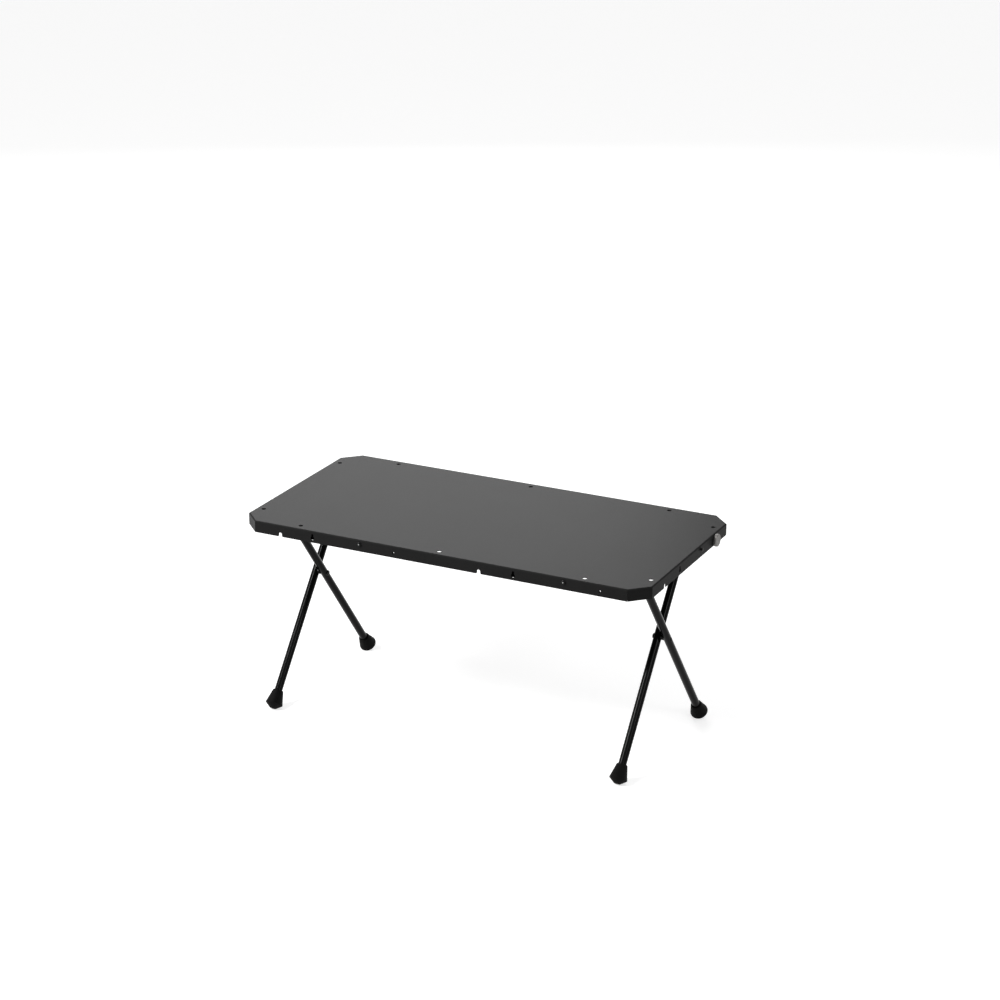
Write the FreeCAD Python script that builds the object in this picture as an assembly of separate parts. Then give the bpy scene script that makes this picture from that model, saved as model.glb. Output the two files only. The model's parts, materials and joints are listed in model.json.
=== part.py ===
"""Folding camping table: a bent, punched steel pan on two crossed-leg frames.

Units are millimetres, +Z is up, +X runs along the long side.
The origin is on the floor under the middle of the table.
Each leg frame hangs on a hinge rod inside the apron and swings inward to lie under the pan.
Apart from the knob at the right end, the table looks the same after half a turn about Z.
"""
import math
import os

import FreeCAD
import Part

V = FreeCAD.Vector
Z_AXIS = V(0, 0, 1)
X_AXIS = V(1, 0, 0)
Y_AXIS = V(0, 1, 0)

# Driving dimensions: the pan
LENGTH = 860.0
DEPTH = 435.0
CORNER = 34.5
SHEET = 1.5
APRON = 23.5
BEND_OUT = 2.5
SEAM = 0.4
SEAM_TOP = 4.0
TAB_T = 1.2
TAB_REACH = 8.5
TAB_DROP = 1.5

# Driving dimensions: the leg frames
TUBE_D = 16.0
TUBE_WALL = 1.2
INNER_X = 367.5
OUTER_X = 387.5
LEG_TOP_Y = 123.3
LEG_FOOT_Y = 177.7
LEG_DROP = 406.2
HINGE_X = 352.0

# Driving dimensions: rubber feet
FOOT_D = 33.5
FOOT_COLLAR_D = 20.0
FOOT_CONE = 38.0
FOOT_DOME = 7.0
FOOT_EDGE = 0.8
FOOT_SHOULDER = 1.6
FOOT_SOLE = 6.0

# Driving dimensions: hinge and head plate
PLATE = 2.5
PLATE_Y = 150.0
PLATE_END_X = 402.0
PLATE_GAP = 0.5
ROD_D = 8.0
HINGE_CLEAR = 0.05
SADDLE_START_Y = 152.0
SADDLE_LENGTH = 22.0
SADDLE_W = 26.0
SADDLE_EAR_R = 7.0
SADDLE = 2.5
CLIP_T = 1.2
ROD_END = 3.0

# Driving dimensions: the knob that draws two tables together, on its stud and backing plate
LOCK_Y = 124.7
LOCK_DROP = 14.0
CLAMP_W = 14.0
CLAMP_T = 3.0
STUD_D = 5.0
KNOB_D = 26.4
KNOB_W = 6.5
KNOB_EDGE = 1.8
KNOB_GAP = 0.4

# Punching in each half-length of apron, read from outside, left to right
MODULE = 430.0
NOTCH_AT = -123.5
NOTCH_W = 7.0
NOTCH_H = 8.5
NOTCH_FLARE = 3.0
KEYHOLE_AT = -52.0
KEYHOLE_D = 8.0
KEYHOLE_W = 5.0
KEYHOLE_DROP = 14.5
LINK_AT = 52.0
LINK_DROP = 8.0
BOLT_HOLE_D = STUD_D + 0.4
COLLAR_D = 8.4
COLLAR_LENGTH = 5.0

# Headed link stud, and the strap behind each keyhole
LINK_D = 4.4
LINK_HEAD_D = 8.0
LINK_HEAD_H = 2.2
LINK_RIM = 0.5
LINK_GAP = 1.9
LINK_TAIL_D = 7.0
LINK_TAIL_H = 1.0
STRAP_W = 26.0
STRAP_HAT_W = 14.0
STRAP_DEPTH = 5.0
STRAP_T = 1.0
STRAP_TOP_DROP = 3.5
STRAP_LOW_DROP = 20.2

# Holes in the top, as (x, y) in one quarter
TOP_HOLE_D = 9.0
TOP_HOLES_SIDE = ((0.0, 200.5), (302.0, 200.5))
TOP_HOLES_END = ((414.0, 152.5),)
TOP_COLLARS = ((302.0, 200.5), (414.0, 152.5))
TOP_COLLAR_D = 11.5
TOP_COLLAR_H = 4.0

# Stiffener and sleeve bolt at the crossing
RIB_LENGTH = 620.0
RIB_W = 24.0
RIB_LIP = 11.0
RIB_H = 6.0
RIB_T = 1.2
BOLT_D = 6.0
BOLT_HEAD_D = 9.5
BOLT_HEAD_H = 1.4
BARREL_D = 8.0
BARREL_LENGTH = 12.0
BARREL_SINK = 1.2
WASHER_D = 11.0
WASHER_T = 0.5
SPACER_D = 10.5

# Worked-out dimensions
LEAN = math.atan2(LEG_TOP_Y + LEG_FOOT_Y, LEG_DROP - APRON)
FOOT_R = FOOT_D / 2
DOME_R = (FOOT_R ** 2 + FOOT_DOME ** 2) / (2 * FOOT_DOME)
SOLE_Z = DOME_R - (DOME_R - FOOT_DOME) * math.cos(LEAN)
HEIGHT = LEG_DROP + SOLE_Z
UNDER = HEIGHT - SHEET
PLATE_TOP = UNDER - PLATE_GAP
PLATE_LOW = PLATE_TOP - PLATE
KNUCKLE_R = ROD_D / 2 + HINGE_CLEAR + PLATE
HINGE_Z = PLATE_TOP - KNUCKLE_R
CROSS_Z = HEIGHT - APRON - LEG_TOP_Y / math.tan(LEAN)
LOCK_Z = HEIGHT - LOCK_DROP
END_IN = LENGTH / 2 - SHEET
SADDLE_END_Y = SADDLE_START_Y + SADDLE_LENGTH

# Half-lengths of apron: shift along the side, distance of the side from the middle, turn about Z
APRON_PLACES = {
    "front_left": (-MODULE / 2, DEPTH / 2, 0),
    "front_right": (MODULE / 2, DEPTH / 2, 0),
    "back_right": (-MODULE / 2, DEPTH / 2, 180),
    "back_left": (MODULE / 2, DEPTH / 2, 180),
    "right_end": (0, LENGTH / 2, 90),
    "left_end": (0, LENGTH / 2, 270),
}


def box(x0, x1, y0, y1, z0, z1):
    """Box between two corners."""
    return Part.makeBox(x1 - x0, y1 - y0, z1 - z0, V(x0, y0, z0))


def rod(radius, start, axis, length):
    """Solid cylinder from a start point along an axis."""
    return Part.makeCylinder(radius, length, start, axis)


def sleeve(outer, inner, start, axis, length):
    """Hollow cylinder."""
    return rod(outer, start, axis, length).cut(rod(inner, start, axis, length))


def prism(points, direction):
    """Closed flat outline pushed along a direction."""
    return Part.Face(Part.makePolygon(points + points[:1])).extrude(direction)


def octagon(inset, z):
    """Outline of the chamfered rectangle, moved inward by an inset."""
    half_x = LENGTH / 2 - inset
    half_y = DEPTH / 2 - inset
    cut = CORNER - inset * (2 - math.sqrt(2))
    quarter = [(half_x, half_y - cut), (half_x - cut, half_y)]
    points = []
    for sx, sy in ((1, 1), (-1, 1), (-1, -1), (1, -1)):
        pair = [V(sx * x, sy * y, z) for x, y in quarter]
        points += pair if sx * sy > 0 else pair[::-1]
    return points


def rounded_block(inset, low, top, radius):
    """Octagonal block with its upper edges rounded like a bend in sheet."""
    block = prism(octagon(inset, low), V(0, 0, top - low))
    upper = [e for e in block.Edges if all(abs(v.Z - top) < 1e-6 for v in e.Vertexes)]
    return block.makeFillet(radius, upper)


def on_apron(shape, place):
    """Copy of a shape, made with the outer face at y = 0 and outside at -Y, put on one length of apron."""
    shift, reach, turn = APRON_PLACES[place]
    copy = shape.copy()
    copy.translate(V(shift, -reach, 0))
    copy.rotate(V(), Z_AXIS, turn)
    return copy


def notch_cutter(reach):
    """Round-topped notch in the lower edge, flared at its mouth."""
    low = HEIGHT - APRON
    notch_top = low + NOTCH_H
    half = NOTCH_W / 2
    flare = half + NOTCH_FLARE / 2
    outline = [V(-flare, -reach / 2, low - 1), V(flare, -reach / 2, low - 1),
               V(half, -reach / 2, low + NOTCH_FLARE), V(half, -reach / 2, notch_top - half),
               V(-half, -reach / 2, notch_top - half), V(-half, -reach / 2, low + NOTCH_FLARE)]
    notch = prism(outline, V(0, reach, 0))
    notch = notch.fuse(rod(half, V(0, -reach / 2, notch_top - half), Y_AXIS, reach))
    notch.translate(V(NOTCH_AT, 0, 0))
    return notch


def keyhole_cutter(reach):
    """Keyhole with its round entry at the bottom and its slot ending at the height of the link studs."""
    entry = HEIGHT - KEYHOLE_DROP
    seat = HEIGHT - LINK_DROP
    half = KEYHOLE_W / 2
    hole = rod(KEYHOLE_D / 2, V(KEYHOLE_AT, -reach / 2, entry), Y_AXIS, reach)
    slot = box(KEYHOLE_AT - half, KEYHOLE_AT + half, -reach / 2, reach / 2, entry, seat)
    end = rod(half, V(KEYHOLE_AT, -reach / 2, seat), Y_AXIS, reach)
    return hole.fuse([slot, end])


def apron_punches():
    """Cutters for the notch, keyhole and holes that repeat along every side of the apron."""
    reach = 6.0
    stud_hole = rod(LINK_D / 2, V(LINK_AT, -reach / 2, HEIGHT - LINK_DROP), Y_AXIS, reach)
    bolt_hole = rod(BOLT_HOLE_D / 2, V(LOCK_Y, -reach / 2, LOCK_Z), Y_AXIS, reach)
    module = Part.makeCompound([notch_cutter(reach), keyhole_cutter(reach), stud_hole, bolt_hole])
    return [on_apron(module, place) for place in APRON_PLACES]


def bolt_collars():
    """Short collars drawn up behind the bolt holes in the long sides."""
    start = V(LOCK_Y, SHEET, LOCK_Z)
    collar = sleeve(COLLAR_D / 2, BOLT_HOLE_D / 2, start, Y_AXIS, COLLAR_LENGTH)
    return [on_apron(collar, place) for place in APRON_PLACES if not place.endswith("end")]


def link_stud():
    """Stud with a domed head, riveted through the apron to hang in the keyhole of the next table."""
    z = HEIGHT - LINK_DROP
    rim = LINK_HEAD_D / 2
    cap = LINK_HEAD_H - LINK_RIM
    dome = (rim ** 2 + cap ** 2) / (2 * cap)
    head = rod(rim, V(LINK_AT, -LINK_GAP - LINK_HEAD_H, z), Y_AXIS, LINK_HEAD_H)
    head = head.common(Part.makeSphere(dome, V(LINK_AT, dome - LINK_GAP - LINK_HEAD_H, z)))
    shank = rod(LINK_D / 2, V(LINK_AT, -LINK_GAP, z), Y_AXIS, LINK_GAP + SHEET)
    tail = rod(LINK_TAIL_D / 2, V(LINK_AT, SHEET, z), Y_AXIS, LINK_TAIL_H)
    return head.fuse([shank, tail]).removeSplitter()


def keyhole_strap():
    """Hat-bent strap welded behind a keyhole, deep enough for a stud's head."""
    lip = STRAP_W / 2
    half = STRAP_HAT_W / 2
    foot = SHEET + STRAP_T
    floor = SHEET + STRAP_DEPTH
    side = [(half, floor), (half, SHEET), (lip, SHEET), (lip, foot),
            (half + STRAP_T, foot), (half + STRAP_T, floor + STRAP_T)]
    outline = side + [(-x, y) for x, y in side[::-1]]
    low = HEIGHT - STRAP_LOW_DROP
    return prism([V(KEYHOLE_AT + x, y, low) for x, y in outline], V(0, 0, STRAP_LOW_DROP - STRAP_TOP_DROP))


def corner_seams():
    """Thin upright gaps where two folded flanges meet at a corner."""
    cutters = []
    low = HEIGHT - APRON - 1
    for p in octagon(0, low):
        seam = box(-6, 6, -SEAM / 2, SEAM / 2, 0, APRON + 1 - SEAM_TOP)
        seam.rotate(V(), Z_AXIS, seam_angle(p))
        seam.translate(p)
        cutters.append(seam)
    return cutters


def corner_tabs():
    """Tabs bent round behind the corner seams and welded to both flanges."""
    low = HEIGHT - APRON + TAB_DROP
    rise = V(0, 0, UNDER - TAB_DROP - low)
    band = prism(octagon(SHEET, low), rise).cut(prism(octagon(SHEET + TAB_T, low), rise))
    return [band.common(rod(TAB_REACH, p, Z_AXIS, rise.z)) for p in octagon(SHEET, low)]


def seam_angle(p):
    """Direction that halves the corner between a side and its chamfer."""
    near_end = abs(p.x) > LENGTH / 2 - 1e-6
    turn = 22.5 if near_end else 67.5
    angle = math.radians(turn)
    across = math.copysign(math.sin(angle), p.y)
    along = math.copysign(math.cos(angle), p.x)
    return math.degrees(math.atan2(across, along))


def top_holes():
    """Cutters for the plain holes near the edges of the top."""
    spots = set()
    for x, y in TOP_HOLES_SIDE + TOP_HOLES_END:
        for sx in (-1, 1):
            for sy in (-1, 1):
                spots.add((sx * x + 0.0, sy * y))
    return [rod(TOP_HOLE_D / 2, V(x, y, UNDER - 2), Z_AXIS, SHEET + 4) for x, y in sorted(spots)]


def top_collars():
    """Short collars drawn down round some of the holes in the top."""
    spots = [V(k * x, k * y, UNDER - TOP_COLLAR_H) for x, y in TOP_COLLARS for k in (1, -1)]
    return [sleeve(TOP_COLLAR_D / 2, TOP_HOLE_D / 2, spot, Z_AXIS, TOP_COLLAR_H) for spot in spots]


def top_pan():
    """Sheet pan with a bent apron on eight sides."""
    outer = rounded_block(0, HEIGHT - APRON, HEIGHT, BEND_OUT)
    inner = rounded_block(SHEET, HEIGHT - APRON - 1, UNDER, BEND_OUT - SHEET)
    pan = outer.cut(inner)
    pan = pan.cut(apron_punches() + corner_seams() + top_holes())
    return pan.fuse(bolt_collars() + top_collars() + corner_tabs()).removeSplitter()


def stiffener():
    """Hat-section rib welded along the middle of the underside."""
    half = RIB_W / 2
    lip = half + RIB_LIP
    low = UNDER - RIB_H
    outline = [(-lip, UNDER), (lip, UNDER), (lip, UNDER - RIB_T), (half + RIB_T, UNDER - RIB_T),
               (half, low), (-half, low), (-half - RIB_T, UNDER - RIB_T), (-lip, UNDER - RIB_T)]
    hollow = [(half - RIB_T + 1, UNDER), (half - RIB_T, low + RIB_T),
              (RIB_T - half, low + RIB_T), (RIB_T - half - 1, UNDER)]
    start = -RIB_LENGTH / 2
    run = V(RIB_LENGTH, 0, 0)
    hat = prism([V(start, y, z) for y, z in outline], run)
    return hat.cut(prism([V(start, y, z) for y, z in hollow], run))


def hinge_saddle(side):
    """Angle bracket under the pan that carries one end of the hinge rod."""
    half = SADDLE_W / 2
    ear_y = SADDLE_END_Y - SADDLE
    foot = box(HINGE_X - half, HINGE_X + half, SADDLE_START_Y, SADDLE_END_Y, UNDER - SADDLE, UNDER)
    corners = [e for e in foot.Edges if abs(e.Length - SADDLE) < 1e-6 and e.Vertexes[0].Y < ear_y]
    foot = foot.makeFillet(4.0, corners)
    ear = box(HINGE_X - SADDLE_EAR_R, HINGE_X + SADDLE_EAR_R, ear_y, SADDLE_END_Y, HINGE_Z, UNDER)
    ear = ear.fuse(rod(SADDLE_EAR_R, V(HINGE_X, ear_y, HINGE_Z), Y_AXIS, SADDLE))
    bracket = foot.fuse(ear).removeSplitter()
    bracket = bracket.cut(rod(ROD_D / 2 + 0.02, V(HINGE_X, ear_y - 1, HINGE_Z), Y_AXIS, SADDLE + 2))
    return mirror_y(bracket, side)


def mirror_y(shape, side):
    """The shape itself for the back, or its mirror image for the front."""
    return shape if side > 0 else shape.mirror(V(), Y_AXIS)


def rod_clip(side):
    """Push-on ring that keeps the hinge rod from sliding out."""
    start = V(HINGE_X, SADDLE_END_Y + 0.2, HINGE_Z)
    return mirror_y(sleeve(SADDLE_EAR_R - 0.5, ROD_D / 2, start, Y_AXIS, CLIP_T), side)


def hinge_rod():
    """Round bar that the frame swings on."""
    reach = SADDLE_END_Y + CLIP_T + ROD_END
    bar = rod(ROD_D / 2, V(HINGE_X, -reach, HINGE_Z), Y_AXIS, 2 * reach)
    ends = [e for e in bar.Edges if e.Curve.TypeId == "Part::GeomCircle"]
    return bar.makeChamfer(0.8, ends)


def knuckle(y0, y1):
    """Rolled eye along the inner edge of the head plate."""
    eye = sleeve(KNUCKLE_R, KNUCKLE_R - PLATE, V(HINGE_X, y0, HINGE_Z), Y_AXIS, y1 - y0)
    gap = box(HINGE_X + 1.0, HINGE_X + KNUCKLE_R + 1, y0, y1, HINGE_Z - 1.0, PLATE_LOW)
    return eye.cut(gap)


def head_plate():
    """Plate that both tubes are welded to, rolled round the hinge rod along its inner edge."""
    corner = 10.0
    plate = box(HINGE_X, PLATE_END_X, -PLATE_Y, PLATE_Y, PLATE_LOW, PLATE_TOP)
    outer = [e for e in plate.Edges if abs(e.Length - PLATE) < 1e-6 and e.Vertexes[0].X > PLATE_END_X - 1]
    plate = plate.makeFillet(corner, outer)
    middle_gap = 60.0
    waist = box(HINGE_X - 1, HINGE_X + 16, -middle_gap, middle_gap, PLATE_LOW - 1, PLATE_TOP + 1)
    plate = plate.cut(waist)
    return plate.fuse([knuckle(middle_gap, PLATE_Y), knuckle(-PLATE_Y, -middle_gap)]).removeSplitter()


def leg_axis(top_side):
    """Unit direction from the top of a leg down to its foot."""
    return V(0, -top_side * math.sin(LEAN), -math.cos(LEAN))


def leg_end(x, top_side):
    """Point on the leg's axis at the widest ring of its foot."""
    return V(x, -top_side * LEG_FOOT_Y, HEIGHT - LEG_DROP)


def leg_tube(x, top_side):
    """Tube cut flat under the head plate and drilled for the sleeve bolt."""
    length = LEG_DROP / math.cos(LEAN)
    axis = leg_axis(top_side)
    low = leg_end(x, top_side) - axis * FOOT_SOLE
    tube = sleeve(TUBE_D / 2, TUBE_D / 2 - TUBE_WALL, low, axis * -1, length)
    above = box(x - 20, x + 20, -400, 400, PLATE_LOW, PLATE_LOW + 200)
    drill = rod(BOLT_D / 2 + 0.1, V(x - 20, 0, CROSS_Z), X_AXIS, 40)
    if x == OUTER_X:
        drill = drill.fuse(rod(BARREL_D / 2, V(x, 0, CROSS_Z), X_AXIS, 20))
    return tube.cut([above, drill])


def dome_height(radius):
    """Height of the domed sole above its middle, at a radius from the leg's axis."""
    return DOME_R - math.sqrt(DOME_R ** 2 - radius ** 2)


def leg_foot(x, top_side):
    """Conical rubber tip with a rounded shoulder and a domed sole."""
    collar = FOOT_COLLAR_D / 2
    bore = TUBE_D / 2 + 0.05
    top = FOOT_DOME + FOOT_CONE
    floor = FOOT_DOME + FOOT_SOLE
    sole_r = FOOT_R - FOOT_EDGE
    middle = V(0, 0, 0)
    sole_mid = V(sole_r / 2, 0, dome_height(sole_r / 2))
    sole_rim = V(sole_r, 0, dome_height(sole_r))
    widest = V(FOOT_R, 0, FOOT_DOME + FOOT_EDGE)
    cone_top = V(collar, 0, top - FOOT_SHOULDER)
    round_off = FOOT_SHOULDER * (1 - math.sqrt(0.5))
    shoulder_mid = V(collar - round_off, 0, top - round_off)
    shoulder_top = V(collar - FOOT_SHOULDER, 0, top)
    mouth = V(bore, 0, top)
    socket = V(bore, 0, floor)
    socket_mid = V(0, 0, floor)
    edges = [
        Part.Arc(middle, sole_mid, sole_rim).toShape(),
        Part.makeLine(sole_rim, widest),
        Part.makeLine(widest, cone_top),
        Part.Arc(cone_top, shoulder_mid, shoulder_top).toShape(),
        Part.makeLine(shoulder_top, mouth),
        Part.makeLine(mouth, socket),
        Part.makeLine(socket, socket_mid),
        Part.makeLine(socket_mid, middle),
    ]
    foot = Part.Face(Part.Wire(edges)).revolve(V(), Z_AXIS, 360)
    foot.translate(V(0, 0, -FOOT_DOME))
    foot.rotate(V(), X_AXIS, top_side * -math.degrees(LEAN))
    foot.translate(leg_end(x, top_side))
    return foot


def leg_core(x, top_side):
    """Stretch of solid bar as thick as a tube, through the crossing."""
    axis = leg_axis(top_side)
    return rod(TUBE_D / 2, V(x, 0, CROSS_Z) - axis * 40, axis, 80)


def low_head(x):
    """Low round head with a softened rim, reaching inward from the plane at x."""
    face = x - BOLT_HEAD_H
    head = rod(BOLT_HEAD_D / 2, V(face, 0, CROSS_Z), X_AXIS, BOLT_HEAD_H)
    circles = [e for e in head.Edges if e.Curve.TypeId == "Part::GeomCircle"]
    rim = [e for e in circles if abs(e.Vertexes[0].X - face) < 1e-6]
    return head.makeFillet(BOLT_HEAD_H * 0.65, rim)


def crossing():
    """Bolt into a sleeve set flush in the outer tube, with saddle washers and a spacer between the tubes."""
    inner_core = leg_core(INNER_X, 1)
    outer_core = leg_core(OUTER_X, -1)
    head_x = INNER_X - TUBE_D / 2 - WASHER_T
    facing_x = OUTER_X - TUBE_D / 2 - WASHER_T
    nut_x = OUTER_X + TUBE_D / 2 - BARREL_SINK
    at = lambda x: V(x, 0, CROSS_Z)
    bore = BOLT_D / 2 + 0.1
    shank = rod(BOLT_D / 2, at(head_x), X_AXIS, nut_x - 1.5 - head_x)
    barrel = rod(BARREL_D / 2, at(nut_x - BARREL_LENGTH), X_AXIS, BARREL_LENGTH)
    thread = rod(BOLT_D / 2 + 0.05, at(nut_x - BARREL_LENGTH - 1), X_AXIS, BARREL_LENGTH)
    inner_washer = sleeve(WASHER_D / 2, bore, at(head_x), X_AXIS, INNER_X - head_x)
    outer_washer = sleeve(WASHER_D / 2, bore, at(facing_x), X_AXIS, OUTER_X - facing_x)
    spacer = sleeve(SPACER_D / 2, bore, at(INNER_X), X_AXIS, facing_x - INNER_X)
    return {
        "cross_bolt": low_head(head_x).fuse(shank).removeSplitter(),
        "cross_nut": barrel.cut(thread),
        "cross_washer_inner": inner_washer.cut(inner_core),
        "cross_washer_outer": outer_washer.cut(outer_core),
        "cross_spacer": spacer.cut(inner_core),
    }


def link_screw():
    """Knob at the right end with its stud and backing plate, by name."""
    outside = LENGTH / 2 + KNOB_GAP
    at = lambda x: V(x, LOCK_Y, LOCK_Z)
    stud = rod(STUD_D / 2, at(END_IN), X_AXIS, outside + KNOB_W - 1.6 - END_IN)
    half = CLAMP_W / 2
    plate = box(END_IN - CLAMP_T, END_IN, LOCK_Y - half, LOCK_Y + half, LOCK_Z - half, LOCK_Z + half)
    corners = [e for e in plate.Edges if abs(e.Length - CLAMP_T) < 1e-6]
    disc = rod(KNOB_D / 2, at(outside), X_AXIS, KNOB_W)
    rims = [e for e in disc.Edges if e.Curve.TypeId == "Part::GeomCircle"]
    disc = disc.makeFillet(KNOB_EDGE, rims)
    return {
        "right_lock_stud": stud,
        "right_clamp_plate": plate.makeFillet(2.0, corners),
        "right_knob": disc.cut(rod(STUD_D / 2 + 0.05, at(outside - 1), X_AXIS, KNOB_W - 0.3)),
    }


def end_pieces():
    """Hinge and leg frame at the right end of the table, by name."""
    pieces = {
        "hinge_rod": hinge_rod(),
        "head_plate": head_plate(),
        "inner_leg_tube": leg_tube(INNER_X, 1),
        "outer_leg_tube": leg_tube(OUTER_X, -1),
        "inner_leg_foot": leg_foot(INNER_X, 1),
        "outer_leg_foot": leg_foot(OUTER_X, -1),
    }
    for name, side in (("back", 1), ("front", -1)):
        pieces["hinge_saddle_" + name] = hinge_saddle(side)
        pieces["rod_clip_" + name] = rod_clip(side)
    pieces.update(crossing())
    return pieces


def swap_sides(name):
    """A piece turned half round changes from front to back."""
    if name.endswith("front"):
        return name[:-5] + "back"
    if name.endswith("back"):
        return name[:-4] + "front"
    return name


def all_pieces():
    """Every solid of the table, by name."""
    pieces = {"top_pan": top_pan(), "stiffener": stiffener()}
    pieces.update(link_screw())
    for place in APRON_PLACES:
        pieces["link_stud_" + place] = on_apron(link_stud(), place)
        pieces["keyhole_strap_" + place] = on_apron(keyhole_strap(), place)
    for name, shape in end_pieces().items():
        pieces["right_" + name] = shape
        turned = shape.copy()
        turned.rotate(V(), Z_AXIS, 180)
        pieces["left_" + swap_sides(name)] = turned
    return pieces


os.makedirs("parts", exist_ok=True)
for piece_name, piece in all_pieces().items():
    solid = piece.Solids[0] if len(piece.Solids) == 1 else piece
    if len(piece.Solids) != 1 or not solid.isValid():
        print("check", piece_name, len(piece.Solids), piece.isValid())
    solid.exportStep(os.path.join("parts", piece_name + ".step"))
print("height", round(HEIGHT, 2), "lean", round(math.degrees(LEAN), 2), "hinge z", round(HINGE_Z, 2))
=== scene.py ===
"""Looks of the folding camping table: materials, small fittings, studio and camera.

Every length is in metres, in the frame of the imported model: +X along the long side, +Y to the back, +Z up.
"""
import json
import math

import bmesh
import bpy
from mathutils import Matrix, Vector


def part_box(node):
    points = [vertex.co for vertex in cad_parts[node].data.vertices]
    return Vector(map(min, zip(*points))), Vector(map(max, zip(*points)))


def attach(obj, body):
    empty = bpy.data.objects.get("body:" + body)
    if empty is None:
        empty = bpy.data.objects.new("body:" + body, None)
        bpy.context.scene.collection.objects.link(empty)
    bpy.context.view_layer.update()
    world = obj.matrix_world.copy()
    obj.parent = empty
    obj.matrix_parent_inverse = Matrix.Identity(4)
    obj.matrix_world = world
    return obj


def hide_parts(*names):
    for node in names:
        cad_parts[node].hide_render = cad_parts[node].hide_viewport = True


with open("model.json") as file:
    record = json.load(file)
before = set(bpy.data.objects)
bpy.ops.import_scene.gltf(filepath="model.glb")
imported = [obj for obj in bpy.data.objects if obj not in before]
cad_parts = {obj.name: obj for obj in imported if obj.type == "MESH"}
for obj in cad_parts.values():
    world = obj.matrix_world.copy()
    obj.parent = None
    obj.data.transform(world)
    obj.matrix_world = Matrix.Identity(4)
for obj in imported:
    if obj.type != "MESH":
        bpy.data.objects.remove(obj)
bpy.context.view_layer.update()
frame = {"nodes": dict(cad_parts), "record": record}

NODES = frame["nodes"]
MM = 0.001
TOP_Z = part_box("top_pan")[1].z
SIDES = {"right": 1, "left": -1}

# Camera, as fitted to the photograph
CAMERA_AZIMUTH = math.radians(26.866)
CAMERA_ELEVATION = math.radians(20.014)
CAMERA_PLACE = (2.18197, -4.39860, TOP_Z + 1.84429)
CAMERA_LENS_MM = 96.695
CAMERA_SENSOR_MM = 36.0
CAMERA_SHIFT = (0.03467, -0.00895)

# Leg tubes
TUBE_R = 8 * MM
LEAN = math.radians(38.19)

# Rubber feet: place of the widest ring, and (height up the leg, radius) of the outline in millimetres
FOOT_Y = 177.7 * MM
FOOT_DROP = 406.2 * MM
FOOT_OUTLINE = [
    (-8.4, 6.0), (-8.2, 6.5), (0.3, 17.35), (0.75, 17.65), (1.3, 17.7), (1.8, 17.5),
    (28.4, 10.9), (29.3, 10.5), (29.9, 9.9), (30.1, 9.2), (30.1, 8.4), (29.9, 8.05), (6.0, 8.05),
]

# Welds
SPOT_R = 3 * MM
SPOT_H = 0.25 * MM
LIP_SPOT_R = 1.8 * MM
RIB_SPOTS = 10
RIB_LIP_MIDDLE = 17.5 * MM
RIB_SHEET = 1.2 * MM
SADDLE_SHEET = 2.5 * MM
SADDLE_SPOT_IN = 7 * MM
SADDLE_SPOT_EDGE = 4.5 * MM
STRAP_SHEET = 1.0 * MM
STRAP_SPOT_EDGE = 2.4 * MM
WELD_R = 1.7 * MM
WELD_LIFT = 0.85
WELD_OUT = 0.4 * MM
WELD_SINK = 0.5 * MM
WELD_RIPPLES = 30
WELD_STEPS = 180
WELD_SIDES = 10

# Sleeve bolts, knob and rod clips
BOLT_R = 3 * MM
BARREL_R = 4 * MM
BARREL_LENGTH = 12 * MM
HEAD_H = 1.4 * MM
SOCKET_FLATS = 4 * MM
SOCKET_DEPTH = 1.0 * MM
SOCKET_RIM = 0.64
NUT_SOCKET_DEPTH = 0.8 * MM
BOLT_BEVEL = 0.6 * MM
BARREL_BEVEL = 0.4 * MM
BARREL_BORE_R = BOLT_R + 0.05 * MM
KNOB_BORE_R = 2.55 * MM
KNOB_R = 12.5 * MM
KNURL_COUNT = 60
KNURL_DEPTH = 0.22 * MM
CLIP_TEETH = 6
CLIP_TOOTH_SHARE = 0.62
CLIP_TOOTH_R = 4.0 * MM
CLIP_GAP_R = 5.0 * MM
CLIP_RING_R = 5.3 * MM

# Painted highlight: a bright metallic spot on the crown of the link studs
HIGHLIGHT_SPOT_R = 1.25 * MM
HIGHLIGHT_SPOT_EDGE = 0.2 * MM

# Span in which most of a noise texture's values lie
NOISE_SPAN = (0.3, 0.7)

# Studio: the floor and world as they are seen directly or mirrored, and as they light the rest
FLOOR_SIZE = 60
FLOOR_COLOUR = 0.62
FLOOR_GLOW = 0.64
WORLD_SEEN = 1.0
WORLD_LIGHT = 0.40
LAMP_AIM = (0, 0, 0.3)
LAMPS = {  # name: place, size, power
    "key": ((-1.77, -2.05, 2.89), 1.0, 120),
    "side": ((2.75, -1.35, 2.25), 0.7, 15),
    "back": ((-2.05, 3.65, 2.2), 2.05, 69),
}


def link(name, mesh, body, slot):
    """New object for a mesh, riding on a body and dressed in its slot's material."""
    piece = bpy.data.objects.new(name, mesh)
    bpy.context.scene.collection.objects.link(piece)
    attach(piece, body)
    dress(piece, MATERIALS[slot])
    return piece


def mesh_from(name, bm, smooth_angle=35):
    """Mesh made from a bmesh, smooth apart from its sharp edges."""
    bmesh.ops.recalc_face_normals(bm, faces=bm.faces)
    limit = math.radians(smooth_angle)
    for face in bm.faces:
        face.smooth = True
    for edge in bm.edges:
        edge.smooth = len(edge.link_faces) == 2 and edge.calc_face_angle(0) < limit
    mesh = bpy.data.meshes.new(name)
    bm.to_mesh(mesh)
    bm.free()
    return mesh


# Turned shapes


def plain(radius):
    """Round ring."""
    return lambda angle: radius


def hexagon(flats):
    """Six-sided ring, given the distance across its flats."""
    step = math.pi / 3
    return lambda angle: flats / 2 / math.cos(angle % step - step / 2)


def knurled(radius, depth=KNURL_DEPTH, count=KNURL_COUNT):
    """Ring with fine rounded grooves."""
    return lambda angle: radius - depth * (0.5 - 0.5 * math.cos(count * angle)) ** 2


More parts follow.
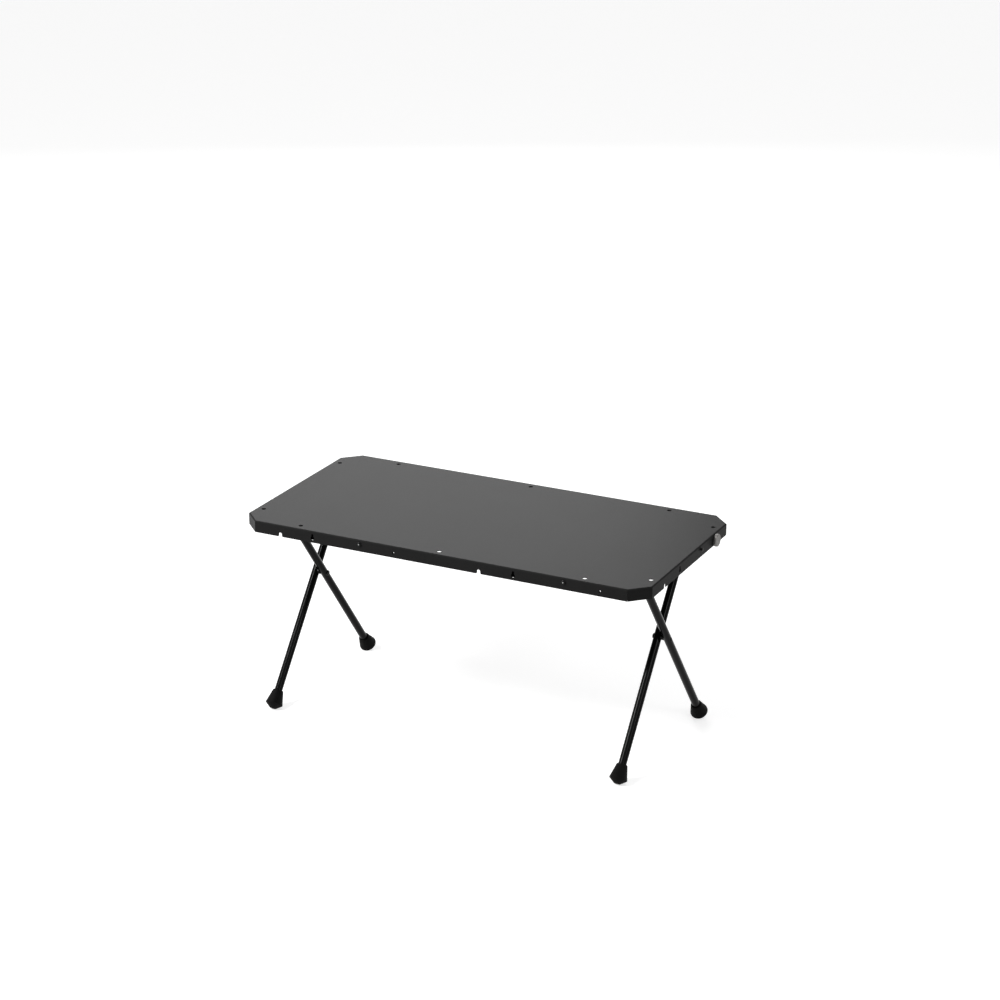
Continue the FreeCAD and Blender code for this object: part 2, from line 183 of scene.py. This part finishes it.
def toothed(inner, outer, count=CLIP_TEETH):
    """Ring that steps between two radii, with teeth at the inner one."""
    return lambda angle: inner if (angle * count / math.tau) % 1 < CLIP_TOOTH_SHARE else outer


def turned(bm, rings, start, axis, segments=96, closed=False):
    """Skin through rings along an axis; a ring is its offset from the start and its radius by angle."""
    axis = Vector(axis)
    across = axis.orthogonal().normalized()
    up = axis.cross(across)
    loops = []
    for offset, radius in rings:
        loop = []
        for i in range(segments):
            angle = math.tau * i / segments
            out = across * math.cos(angle) + up * math.sin(angle)
            loop.append(bm.verts.new(Vector(start) + axis * offset + out * radius(angle)))
        loops.append(loop)
    pairs = list(zip(loops, loops[1:]))
    if closed:
        pairs.append((loops[-1], loops[0]))
    for a, b in pairs:
        for i in range(segments):
            j = (i + 1) % segments
            bm.faces.new((a[i], a[j], b[j], b[i]))
    if not closed:
        bm.faces.new(loops[0][::-1])
        bm.faces.new(loops[-1])


def head_rings(radius):
    """Domed low head with a hexagon socket, from its socket floor back to its seat."""
    dome = [(0.02, 0.80), (0.08, 0.87), (0.20, 0.935), (0.40, 0.98), (0.62, 1.0)]
    rings = [
        (SOCKET_DEPTH, hexagon(SOCKET_FLATS * 0.5)),
        (SOCKET_DEPTH, hexagon(SOCKET_FLATS)),
        (0.16 * MM, hexagon(SOCKET_FLATS)),
        (0.03 * MM, plain(SOCKET_FLATS * SOCKET_RIM)),
    ]
    rings += [(offset * MM, plain(radius * share)) for offset, share in dome]
    return rings + [(HEAD_H, plain(radius))]


def sleeve_bolt(side):
    """Bolt and sleeve nut with socket heads, through both tubes of one leg frame."""
    k = SIDES[side]
    body = side + "_leg_frame"
    low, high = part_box(side + "_cross_bolt")
    middle = (low + high) / 2
    radius = (high.z - low.z) / 2
    start = Vector((low.x if k > 0 else high.x, middle.y, middle.z))
    length = high.x - low.x
    bm = bmesh.new()
    rings = head_rings(radius) + [
        (HEAD_H, plain(BOLT_R)),
        (length - BOLT_BEVEL, plain(BOLT_R)),
        (length, plain(BOLT_R - BOLT_BEVEL)),
    ]
    turned(bm, rings, start, (k, 0, 0))
    bolt = link(side + "_bolt_with_socket", mesh_from("bolt", bm), body, "dark_fastener")
    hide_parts(side + "_cross_bolt")

    low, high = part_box(side + "_cross_nut")
    start = Vector((high.x if k > 0 else low.x, middle.y, middle.z))
    rings = [
        (NUT_SOCKET_DEPTH, hexagon(SOCKET_FLATS * 0.5)),
        (NUT_SOCKET_DEPTH, hexagon(SOCKET_FLATS)),
        (0.12 * MM, hexagon(SOCKET_FLATS)),
        (0, plain(SOCKET_FLATS * SOCKET_RIM)),
        (0, plain(BARREL_R - BARREL_BEVEL)),
        (BARREL_BEVEL, plain(BARREL_R)),
        (BARREL_LENGTH - BARREL_BEVEL, plain(BARREL_R)),
        (BARREL_LENGTH, plain(BARREL_R - BARREL_BEVEL)),
        (BARREL_LENGTH, plain(BARREL_BORE_R)),
        (MM, plain(BARREL_BORE_R)),
    ]
    bm = bmesh.new()
    turned(bm, rings, start, (-k, 0, 0))
    nut = link(side + "_sleeve_nut_with_socket", mesh_from("nut", bm), body, "dark_fastener")
    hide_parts(side + "_cross_nut")


def knob():
    """Knob with a knurled rim, a dished face and a turned centre mark."""
    low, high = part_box("right_knob")
    depth = high.x - low.x
    middle = (low + high) / 2
    # In millimetres: the bore from its floor, the back edge and front by inset, the mark by radius
    bore = [(5.2, 0), (0.4, 0), (0, 0.4)]
    back = [(0, 0.7), (0.12, 0.35), (0.4, 0.2)]
    front = [(1.35, 0.12), (0.95, 0.4), (0.5, 0.8), (0.15, 1.4), (0, 2.1), (0, 2.8), (0.1, 3.1),
             (0.35, 3.7), (0.4, 4.4)]
    mark = [(0.4, 1.1), (0.55, 0.9), (0.75, 0.2)]
    rings = [(offset * MM, plain(KNOB_BORE_R + extra * MM)) for offset, extra in bore]
    rings += [(offset * MM, plain(KNOB_R - inset * MM)) for offset, inset in back]
    rings += [(0.6 * MM, knurled(KNOB_R)), (depth - 1.6 * MM, knurled(KNOB_R))]
    rings += [(depth - offset * MM, plain(KNOB_R - inset * MM)) for offset, inset in front]
    rings += [(depth - offset * MM, plain(r * MM)) for offset, r in mark]
    bm = bmesh.new()
    turned(bm, rings, Vector((low.x, middle.y, middle.z)), (1, 0, 0), segments=360)
    piece = link("right_knurled_knob", mesh_from("knob", bm), "right_knob", "knob_metal")
    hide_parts("right_knob")


def rod_clip(node):
    """Push-on clip with spring teeth that bite the hinge rod."""
    low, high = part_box(node)
    middle = (low + high) / 2
    outer = (high.z - low.z) / 2
    width = high.y - low.y
    start = Vector((middle.x, low.y, middle.z))
    teeth = toothed(CLIP_TOOTH_R, CLIP_GAP_R)
    rings = [
        (0.25 * MM, plain(outer)),
        (width - 0.25 * MM, plain(outer)),
        (width, plain(outer - 0.3 * MM)),
        (width * 0.85, plain(CLIP_RING_R)),
        (width * 0.85, teeth),
        (width * 0.15, teeth),
        (width * 0.15, plain(CLIP_RING_R)),
        (0, plain(outer - 0.3 * MM)),
    ]
    bm = bmesh.new()
    turned(bm, rings, start, (0, 1, 0), segments=72, closed=True)
    piece = link(node + "_toothed", mesh_from("clip", bm), "tabletop", "dark_fastener")
    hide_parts(node)


def rubber_foot(side, leg):
    """Rubber tip whose sole is a cone as steep as the leg's lean, so that it lies flat on the floor."""
    node = f"{side}_{leg}_leg_foot"
    middle = sum(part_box(node), Vector()) / 2
    outward = math.copysign(1, middle.y)
    start = Vector((middle.x, outward * FOOT_Y, TOP_Z - FOOT_DROP))
    up_leg = (0, -outward * math.sin(LEAN), math.cos(LEAN))
    bm = bmesh.new()
    rings = [(offset * MM, plain(r * MM)) for offset, r in FOOT_OUTLINE]
    turned(bm, rings, start, up_leg)
    mesh = mesh_from("foot", bm, 25)
    foot = link(node + "_with_cone_sole", mesh, side + "_leg_frame", "foot_rubber")
    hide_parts(node)


# Welds


def spot_weld(bm, place, axis, r=SPOT_R):
    """Round electrode mark: a low rim round a shallow dish."""
    dish = [(0.6, 0.94), (1.0, 0.82), (0.9, 0.70), (0.4, 0.50), (0.25, 0.2)]
    rings = [(-0.05 * MM, plain(r))]
    rings += [(SPOT_H * height, plain(r * share)) for height, share in dish]
    turned(bm, rings, place, axis, segments=24)


def spot_welds():
    """Spot welds on the lips of the rib and keyhole straps and on the feet of the hinge saddles."""
    bm = bmesh.new()
    low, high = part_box("stiffener")
    lip_z = high.z - RIB_SHEET
    for i in range(RIB_SPOTS):
        x = low.x + (high.x - low.x) * (i + 0.5) / RIB_SPOTS
        for y in (-RIB_LIP_MIDDLE, RIB_LIP_MIDDLE):
            spot_weld(bm, (x, y, lip_z), (0, 0, -1))
    for node in NODES:
        if "hinge_saddle" in node:
            low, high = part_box(node)
            inward = low.y if low.y > 0 else high.y
            y = inward + math.copysign(SADDLE_SPOT_IN, inward)
            for x in (low.x + SADDLE_SPOT_EDGE, high.x - SADDLE_SPOT_EDGE):
                spot_weld(bm, (x, y, high.z - SADDLE_SHEET), (0, 0, -1))
        elif "keyhole_strap" in node:
            strap_welds(bm, *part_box(node))
    link("spot_welds", mesh_from("spot_welds", bm), "tabletop", "pan_coat")


def strap_welds(bm, low, high):
    """One small mark on the inner face of each lip of a keyhole strap."""
    middle = (low + high) / 2
    if high.x - low.x > high.y - low.y:
        inward = -math.copysign(1, middle.y)
        y = (low.y if inward > 0 else high.y) + inward * STRAP_SHEET
        for x in (low.x + STRAP_SPOT_EDGE, high.x - STRAP_SPOT_EDGE):
            spot_weld(bm, (x, y, middle.z), (0, inward, 0), LIP_SPOT_R)
    else:
        inward = -math.copysign(1, middle.x)
        x = (low.x if inward > 0 else high.x) + inward * STRAP_SHEET
        for y in (low.y + STRAP_SPOT_EDGE, high.y - STRAP_SPOT_EDGE):
            spot_weld(bm, (x, y, middle.z), (inward, 0, 0), LIP_SPOT_R)


def tube_weld(bm, centre):
    """Rippled bead round the slanting top of a tube, under its head plate."""
    loops = []
    for i in range(WELD_STEPS):
        angle = math.tau * i / WELD_STEPS
        ripple = 1 + 0.13 * math.cos(WELD_RIPPLES * angle) + 0.07 * math.sin(5 * angle + centre.x * 40)
        out = Vector((math.cos(angle), math.sin(angle) / math.cos(LEAN), 0))
        base = centre + out * (TUBE_R + WELD_OUT)
        out.normalize()
        swell = WELD_R * ripple
        loop = []
        for j in range(WELD_SIDES):
            turn = math.tau * j / WELD_SIDES
            lift = Vector((0, 0, swell * WELD_LIFT * math.sin(turn)))
            loop.append(bm.verts.new(base + out * swell * math.cos(turn) + lift))
        loops.append(loop)
    for i, a in enumerate(loops):
        b = loops[(i + 1) % len(loops)]
        for j in range(WELD_SIDES):
            m = (j + 1) % WELD_SIDES
            bm.faces.new((a[j], b[j], b[m], a[m]))


def tube_welds(side):
    """Beads that join both tubes of a leg frame to its head plate."""
    bm = bmesh.new()
    reach = TUBE_R / math.cos(LEAN)
    for leg, turn in (("inner", 1), ("outer", -1)):
        low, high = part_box(f"{side}_{leg}_leg_tube")
        top_side = turn * SIDES[side]
        y = high.y - reach if top_side > 0 else low.y + reach
        tube_weld(bm, Vector(((low.x + high.x) / 2, y, high.z - WELD_SINK)))
    mesh = mesh_from("tube_welds", bm, 60)
    link(side + "_tube_welds", mesh, side + "_leg_frame", "frame_coat")


# Materials


class Nodes:
    """Short way to add and join shader nodes in one material."""

    def __init__(self, name):
        self.material = bpy.data.materials.new(name)
        self.material.use_nodes = True
        self.tree = self.material.node_tree
        self.shader = self.tree.nodes["Principled BSDF"]

    def add(self, kind, inputs=None, **settings):
        """New node with settings, and with values or links on its inputs."""
        node = self.tree.nodes.new(kind)
        for key, value in settings.items():
            setattr(node, key, value)
        for key, value in (inputs or {}).items():
            self.put(value, node.inputs[key])
        return node

    def put(self, value, socket):
        """Links an output to a socket, or sets the socket to a value."""
        if isinstance(value, bpy.types.NodeSocket):
            self.tree.links.new(value, socket)
        else:
            socket.default_value = value

    def place(self, stretch=(1, 1, 1)):
        """Object coordinates, stretched."""
        coords = self.add("ShaderNodeTexCoord")
        inputs = {"Vector": coords.outputs["Object"], "Scale": stretch}
        return self.add("ShaderNodeMapping", inputs).outputs[0]

    def noise(self, scale, detail=3.0, rough=0.5, where=None):
        """Noise texture, in object coordinates unless told where."""
        where = where or self.place()
        inputs = {"Vector": where, "Scale": scale, "Detail": detail, "Roughness": rough}
        return self.add("ShaderNodeTexNoise", inputs).outputs["Fac"]

    def ramp(self, value, low, high, start, end):
        """Maps a value from one span to another, held at both ends."""
        inputs = {"Value": value, "From Min": low, "From Max": high, "To Min": start, "To Max": end}
        return self.add("ShaderNodeMapRange", inputs).outputs[0]

    def spread(self, value, start, end):
        """Maps a noise from the span of most of its values to another span."""
        return self.ramp(value, *NOISE_SPAN, start, end)

    def math(self, operation, a, b):
        """Sum, product or the like of two values."""
        node = self.add("ShaderNodeMath", operation=operation)
        self.put(a, node.inputs[0])
        self.put(b, node.inputs[1])
        return node.outputs[0]

    def mix(self, factor, a, b):
        """Colour mix."""
        node = self.add("ShaderNodeMix", data_type="RGBA")
        self.put(factor, node.inputs[0])
        self.put(a, node.inputs[6])
        self.put(b, node.inputs[7])
        return node.outputs[2]

    def bump(self, height, strength, distance, under=None):
        """Bumped normal, over another one if given."""
        inputs = {"Height": height, "Strength": strength, "Distance": distance}
        node = self.add("ShaderNodeBump", inputs)
        if under is not None:
            self.put(under, node.inputs["Normal"])
        return node.outputs[0]

    def finish(self, **sockets):
        """Fills the shader's sockets, named with underscores, and gives the material."""
        for key, value in sockets.items():
            self.put(value, self.shader.inputs[key.replace("_", " ")])
        return self.material


def grey(level, warm=0.0):
    """Opaque grey, made slightly warm or cool."""
    return (level * (1 + warm), level, level * (1 - warm), 1.0)


def powder_coat(name, level, gloss, shine, peel):
    """Satin black powder coat: fine orange peel, faint handling marks, hair scratches and specks of dust."""
    n = Nodes(name)
    smudge = n.noise(14.0, 5.0, 0.6)
    grain = n.noise(2600.0, 2.0)
    peel_height = n.noise(900.0, 2.0, 0.4)
    dust = n.ramp(n.noise(1300.0, 2.0, 0.7), 0.72, 0.80, 0.0, 1.0)
    patchy_dust = n.math("MULTIPLY", dust, n.ramp(smudge, 0.50, 0.72, 0.0, 0.35))
    base = n.mix(n.spread(smudge, 0.0, 1.0), grey(level * 0.95), grey(level * 1.05, 0.01))
    colour = n.mix(patchy_dust, base, grey(level * 5, 0.04))
    scratch_space = n.place((2.0, 60.0, 30.0))
    scratch = n.ramp(n.noise(26.0, 3.0, 0.7, scratch_space), 0.70, 0.78, 0.0, 0.04)
    rough = n.math("ADD", n.spread(smudge, gloss - 0.006, gloss + 0.009), scratch)
    normal = n.bump(peel_height, 0.08 * peel, 0.0004)
    normal = n.bump(grain, 0.04 * peel, 0.0002, normal)
    return n.finish(Base_Color=colour, Roughness=rough, Specular_IOR_Level=shine, Normal=normal)


def moulded_rubber():
    """Matte black rubber with a blasted mould texture and a dusty bloom."""
    n = Nodes("foot_rubber")
    bloom = n.noise(70.0, 4.0, 0.6)
    texture = n.noise(1500.0, 3.0, 0.6)
    colour = n.mix(n.ramp(bloom, 0.35, 0.75, 0.0, 1.0), grey(0.0025), grey(0.005, 0.02))
    rough = n.spread(bloom, 0.50, 0.64)
    normal = n.bump(texture, 0.2, 0.0003)
    return n.finish(Base_Color=colour, Roughness=rough, Specular_IOR_Level=0.05, Normal=normal)


def turned_metal():
    """Lathe-turned grey metal, lightly blasted, with fine rings about the knob's axis."""
    n = Nodes("knob_metal")
    low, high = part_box("right_knob")
    coords = n.add("ShaderNodeTexCoord").outputs["Object"]
    middle = (low + high) / 2
    centred = n.add("ShaderNodeVectorMath", {0: coords, 1: middle}, operation="SUBTRACT").outputs[0]
    flat = n.add("ShaderNodeVectorMath", {0: centred, 1: (0, 1, 1)}, operation="MULTIPLY").outputs[0]
    radius = n.add("ShaderNodeVectorMath", {0: flat}, operation="LENGTH").outputs["Value"]
    inputs = {"W": radius, "Scale": 1900.0, "Detail": 3.0}
    rings = n.add("ShaderNodeTexNoise", inputs, noise_dimensions="1D").outputs[0]
    blast = n.noise(2400.0, 3.0, 0.6)
    tone = n.noise(500.0, 3.0)
    colour = n.mix(n.spread(tone, 0.0, 1.0), grey(0.142, 0.03), grey(0.156, 0.03))
    rough = n.math("ADD", n.spread(blast, 0.38, 0.46), n.spread(rings, 0.0, 0.08))
    normal = n.bump(blast, 0.06, 0.0002, n.bump(rings, 0.12, 0.0002))
    return n.finish(Base_Color=colour, Roughness=rough, Metallic=1.0, Normal=normal)


def black_oxide(name, crown=None):
    """Blackened steel with an oily, uneven sheen, and a painted highlight, a bright metallic spot, about a
    point if one is given.
    """
    n = Nodes(name)
    oil = n.noise(260.0, 4.0, 0.6)
    fine = n.noise(3000.0, 2.0)
    colour = n.mix(n.spread(oil, 0.0, 1.0), grey(0.002), grey(0.005, 0.03))
    rough = n.spread(oil, 0.11, 0.17)
    painted_highlight = 0.0
    if crown:
        # Painted highlight: a bright, metallic, slightly rougher spot round the crown, with a ragged edge.
        coords = n.add("ShaderNodeTexCoord").outputs["Object"]
        away = n.add("ShaderNodeVectorMath", {0: coords, 1: crown}, operation="DISTANCE").outputs["Value"]
        ragged = n.math("ADD", away, n.spread(n.noise(1800.0, 2.0, 0.6), -HIGHLIGHT_SPOT_EDGE, HIGHLIGHT_SPOT_EDGE))
        painted_highlight = n.ramp(ragged, HIGHLIGHT_SPOT_R - HIGHLIGHT_SPOT_EDGE, HIGHLIGHT_SPOT_R + HIGHLIGHT_SPOT_EDGE, 1.0, 0.0)
        colour = n.mix(painted_highlight, colour, grey(0.28, 0.01))
        rough = n.math("ADD", rough, n.ramp(painted_highlight, 0.0, 1.0, 0.0, 0.12))
    normal = n.bump(fine, 0.04, 0.0002)
    return n.finish(Base_Color=colour, Roughness=rough, Metallic=painted_highlight, Specular_IOR_Level=0.09, Normal=normal)


def stud_with_painted_highlight(node):
    """Material of a link stud on a long side, with a painted highlight on the crown of its head."""
    low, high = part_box(node)
    crown = (low + high) / 2
    crown.y = low.y if crown.y < 0 else high.y
    return black_oxide(node + "_oxide", NODES[node].matrix_world.inverted() @ crown)


def drawn_steel():
    """Cold-drawn round bar with fine lines along Y."""
    n = Nodes("bare_steel")
    lines = n.noise(2200.0, 3.0, 0.6, n.place((1.0, 0.01, 1.0)))
    tone = n.noise(40.0, 3.0)
    colour = n.mix(n.spread(tone, 0.0, 1.0), grey(0.38), grey(0.50, 0.01))
    rough = n.spread(lines, 0.24, 0.40)
    return n.finish(Base_Color=colour, Roughness=rough, Metallic=1.0, Normal=n.bump(lines, 0.12, 0.0002))


def dress(piece, material):
    """Puts one material on an object."""
    piece.data.materials.clear()
    piece.data.materials.append(material)


# Studio


def studio():
    """Pale floor, white surroundings and large soft lamps."""
    bpy.ops.mesh.primitive_plane_add(size=FLOOR_SIZE)
    floor = bpy.context.object
    floor.name = "floor"
    n = Nodes("floor")
    path = n.add("ShaderNodeLightPath")
    seen = n.math("MAXIMUM", path.outputs["Is Camera Ray"], path.outputs["Is Glossy Ray"])
    seen = n.math("MAXIMUM", seen, path.outputs["Is Transmission Ray"])
    n.finish(Base_Color=grey(FLOOR_COLOUR), Roughness=0.9)
    n.put(n.math("MULTIPLY", seen, FLOOR_GLOW), n.shader.inputs["Emission Strength"])
    n.put(grey(1.0), n.shader.inputs["Emission Color"])
    floor.data.materials.append(n.material)

    world = bpy.data.worlds.new("studio")
    bpy.context.scene.world = world
    world.use_nodes = True
    tree = world.node_tree
    back = tree.nodes["Background"]
    path = tree.nodes.new("ShaderNodeLightPath")
    seen = tree.nodes.new("ShaderNodeMath")
    seen.operation = "MAXIMUM"
    tree.links.new(path.outputs["Is Camera Ray"], seen.inputs[0])
    tree.links.new(path.outputs["Is Glossy Ray"], seen.inputs[1])
    passed = tree.nodes.new("ShaderNodeMath")
    passed.operation = "MAXIMUM"
    tree.links.new(seen.outputs[0], passed.inputs[0])
    tree.links.new(path.outputs["Is Transmission Ray"], passed.inputs[1])
    level = tree.nodes.new("ShaderNodeMapRange")
    tree.links.new(passed.outputs[0], level.inputs["Value"])
    level.inputs["To Min"].default_value = WORLD_LIGHT
    level.inputs["To Max"].default_value = WORLD_SEEN
    tree.links.new(level.outputs[0], back.inputs["Strength"])
    back.inputs["Color"].default_value = (1, 1, 1, 1)

    for name, (place, size, power) in LAMPS.items():
        soft_lamp(name, place, size, power)


def soft_lamp(name, place, size, power):
    """Square soft box aimed at the middle of the table."""
    data = bpy.data.lights.new(name, "AREA")
    data.size = size
    data.energy = power
    lamp = bpy.data.objects.new(name, data)
    bpy.context.scene.collection.objects.link(lamp)
    lamp.location = place
    aim = Vector(LAMP_AIM) - Vector(place)
    lamp.rotation_euler = aim.to_track_quat("-Z", "Y").to_euler()


def photo_camera():
    """Camera at the photograph's viewing angle."""
    data = bpy.data.cameras.new("camera")
    data.lens = CAMERA_LENS_MM
    data.sensor_width = CAMERA_SENSOR_MM
    data.shift_x, data.shift_y = CAMERA_SHIFT
    camera = bpy.data.objects.new("camera", data)
    bpy.context.scene.collection.objects.link(camera)
    camera.location = CAMERA_PLACE
    camera.rotation_euler = (math.pi / 2 - CAMERA_ELEVATION, 0, CAMERA_AZIMUTH)
    bpy.context.scene.camera = camera


MATERIALS = {
    "pan_coat": powder_coat("pan_coat", 0.016, 0.34, 0.015, 1.0),
    "frame_coat": powder_coat("frame_coat", 0.003, 0.10, 0.05, 0.5),
    "foot_rubber": moulded_rubber(),
    "knob_metal": turned_metal(),
    "dark_fastener": black_oxide("dark_fastener"),
    "bare_steel": drawn_steel(),
}
# Keyhole straps get a darker, matte copy of the pan coat: painted shade that makes the keyholes look dark.
STRAP_PAINTED_SHADE_COAT = powder_coat("pan_coat_painted_shade", 0.003, 0.60, 0.0, 1.0)
for entry in frame["record"]["subparts"]:
    node_name = entry["node"]
    material = MATERIALS[entry["material_slot"]]
    if node_name.startswith("keyhole_strap"):
        material = STRAP_PAINTED_SHADE_COAT
    elif node_name.startswith(("link_stud_front", "link_stud_back")):
        # Studs on the long sides get a painted highlight at their crowns.
        material = stud_with_painted_highlight(node_name)
    dress(NODES[node_name], material)
for side_name in SIDES:
    sleeve_bolt(side_name)
    tube_welds(side_name)
    rubber_foot(side_name, "inner")
    rubber_foot(side_name, "outer")
    rod_clip(side_name + "_rod_clip_front")
    rod_clip(side_name + "_rod_clip_back")
spot_welds()
knob()
photo_camera()
studio()
bpy.context.scene.view_settings.view_transform = "Standard"
